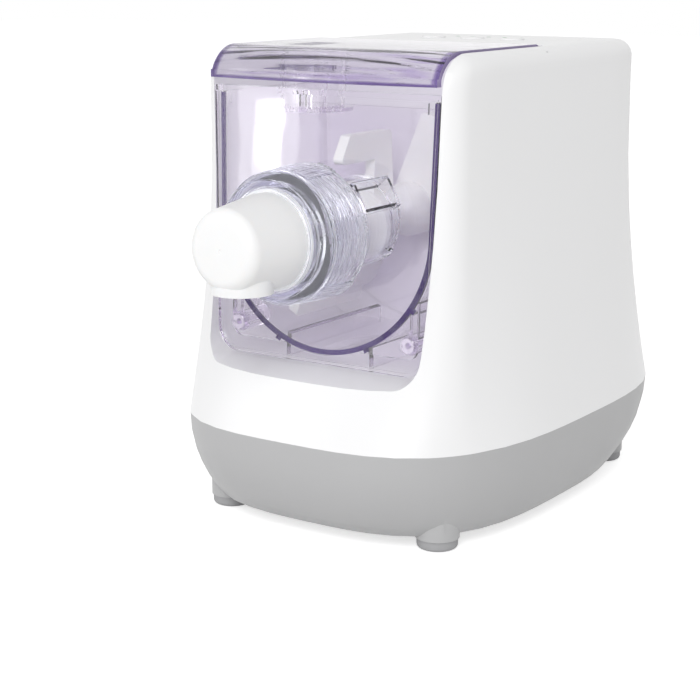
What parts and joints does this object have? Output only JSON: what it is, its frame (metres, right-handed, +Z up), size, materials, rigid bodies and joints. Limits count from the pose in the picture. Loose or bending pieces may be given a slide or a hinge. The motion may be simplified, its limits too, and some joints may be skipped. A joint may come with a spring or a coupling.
{
  "type": "electric pasta maker",
  "caption": "Electric pasta maker: white motor housing on a grey base, see-through mixing bowl with hinged lid, auger barrel, ribbed locking nut and downward noodle die.",
  "frame": {"origin": "on the table, at the middle of the overall footprint", "axes": "+Z up, front with the noodle die faces -Y, +X to the right as seen from the front"},
  "size_m": [0.241, 0.3824, 0.292],
  "materials": {
    "white_shell": "gloss white",
    "grey_base": "satin grey",
    "foot_rubber": "matt grey",
    "clear_panel": "clear",
    "violet_clear": "clear violet tint",
    "violet_solid": "deep violet",
    "blue_clear": "clear with a blue tint",
    "milk_white": "satin white",
    "steel": "bright",
    "dark_steel": "laminated",
    "cast_alloy": "cast",
    "copper_wire": "enamelled copper",
    "bronze": "sintered",
    "gear_plastic": "natural acetal",
    "black_plastic": "black",
    "board_green": "circuit board",
    "dark_parts": "components",
    "seal_rubber": "matt",
    "seal_white": "silicone",
    "lens_green": "tinted lens"
  },
  "bodies": {
    "housing": {"upper_housing": "white_shell", "base_tray": "grey_base", "rubber_feet": "foot_rubber", "base_screws": "steel", "hinge_pins": "steel", "interlock_switch": "black_plastic", "gearbox_front_plate": "cast_alloy", "gearbox_case": "cast_alloy", "gearbox_screws": "steel", "shaft_bushes": "bronze", "intermediate_axle": "steel", "motor_stator": "dark_steel", "motor_windings": "copper_wire", "motor_front_bell": "cast_alloy", "motor_rear_bell": "cast_alloy", "motor_bearings": "steel", "motor_bolts": "steel", "motor_screws": "steel", "run_capacitor": "cast_alloy", "capacitor_holder": "dark_parts", "power_board": "board_green", "power_parts": "dark_parts", "board_screws": "steel", "control_panel": "white_shell", "indicator_lenses": "lens_green", "control_board": "board_green", "control_parts": "dark_parts", "power_inlet": "black_plastic", "inlet_pins": "bronze", "inlet_screws": "steel"},
    "lid": {"lid": "violet_clear", "lid_water_cup": "clear_panel"},
    "bowl": {"mixing_bowl": "violet_clear", "bowl_gasket": "violet_solid", "shaft_seal": "seal_rubber"},
    "panel": {"front_panel": "clear_panel", "panel_screws": "violet_clear", "extrusion_barrel": "blue_clear", "barrel_seal": "seal_white"},
    "nozzle": {"die_cap": "milk_white", "die_disc": "milk_white"},
    "nut": {"locking_nut": "blue_clear"},
    "mixer": {"auger": "milk_white", "mixing_paddle": "milk_white"},
    "drive": {"drive_shaft": "steel", "output_gear": "gear_plastic"},
    "intermediate": {"intermediate_gear": "gear_plastic"},
    "rotor": {"motor_rotor": "dark_steel", "motor_pinion": "steel", "cooling_fan": "black_plastic"},
    "power_key": {"power_button": "white_shell"},
    "mode_key": {"mode_button": "white_shell"},
    "start_key": {"start_button": "white_shell"},
    "plunger": {"interlock_plunger": "black_plastic"}
  },
  "joints": [
    {"name": "lid_hinge", "type": "hinge", "parent": "housing", "child": "lid", "pos_m": [0, 0.01953, 0.286], "axis": [-1, 0, 0], "range_deg": [0, 95]},
    {"name": "bowl_slide", "type": "slide", "parent": "housing", "child": "bowl", "axis": [0, -1, 0], "range_m": [0, 0.12]},
    {"name": "panel_slide", "type": "slide", "parent": "bowl", "child": "panel", "axis": [0, -1, 0], "range_m": [0, 0.11]},
    {"name": "nozzle_advance", "type": "slide", "parent": "panel", "child": "nozzle", "axis": [0, -1, 0], "range_m": [0, 0.024]},
    {"name": "nut_turn", "type": "hinge", "parent": "nozzle", "child": "nut", "pos_m": [0, -0.14797, 0.1865], "axis": [0, 1, 0], "range_deg": [0, 1350]},
    {"name": "mixer_spin", "type": "hinge", "parent": "bowl", "child": "mixer", "pos_m": [0, -0.01247, 0.1865], "axis": [0, 1, 0], "continuous": true},
    {"name": "rotor_spin", "type": "hinge", "parent": "housing", "child": "rotor", "pos_m": [0, 0.09753, 0.0905], "axis": [0, 1, 0], "continuous": true},
    {"name": "intermediate_spin", "type": "hinge", "parent": "housing", "child": "intermediate", "pos_m": [0, 0.05253, 0.1325], "axis": [0, 1, 0], "continuous": true},
    {"name": "drive_spin", "type": "hinge", "parent": "housing", "child": "drive", "pos_m": [0, 0.04253, 0.1865], "axis": [0, 1, 0], "continuous": true},
    {"name": "power_press", "type": "slide", "parent": "housing", "child": "power_key", "axis": [0, 0, -1], "range_m": [0, 0.0012], "stiffness_N_per_m": 600, "springref_m": -0.001},
    {"name": "mode_press", "type": "slide", "parent": "housing", "child": "mode_key", "axis": [0, 0, -1], "range_m": [0, 0.0012], "stiffness_N_per_m": 600, "springref_m": -0.001},
    {"name": "start_press", "type": "slide", "parent": "housing", "child": "start_key", "axis": [0, 0, -1], "range_m": [0, 0.0012], "stiffness_N_per_m": 600, "springref_m": -0.001},
    {"name": "plunger_press", "type": "slide", "parent": "housing", "child": "plunger", "axis": [0, 1, 0], "range_m": [0, 0.0015], "stiffness_N_per_m": 500, "springref_m": -0.002}
  ],
  "couplings": [
    {"joint": "intermediate_spin", "follows": "rotor_spin", "ratio": -0.16667},
    {"joint": "drive_spin", "follows": "rotor_spin", "ratio": 0.033333},
    {"joint": "mixer_spin", "follows": "rotor_spin", "ratio": 0.033333},
    {"joint": "nozzle_advance", "follows": "nut_turn", "m_per_rad": 0.0010186}
  ]
}
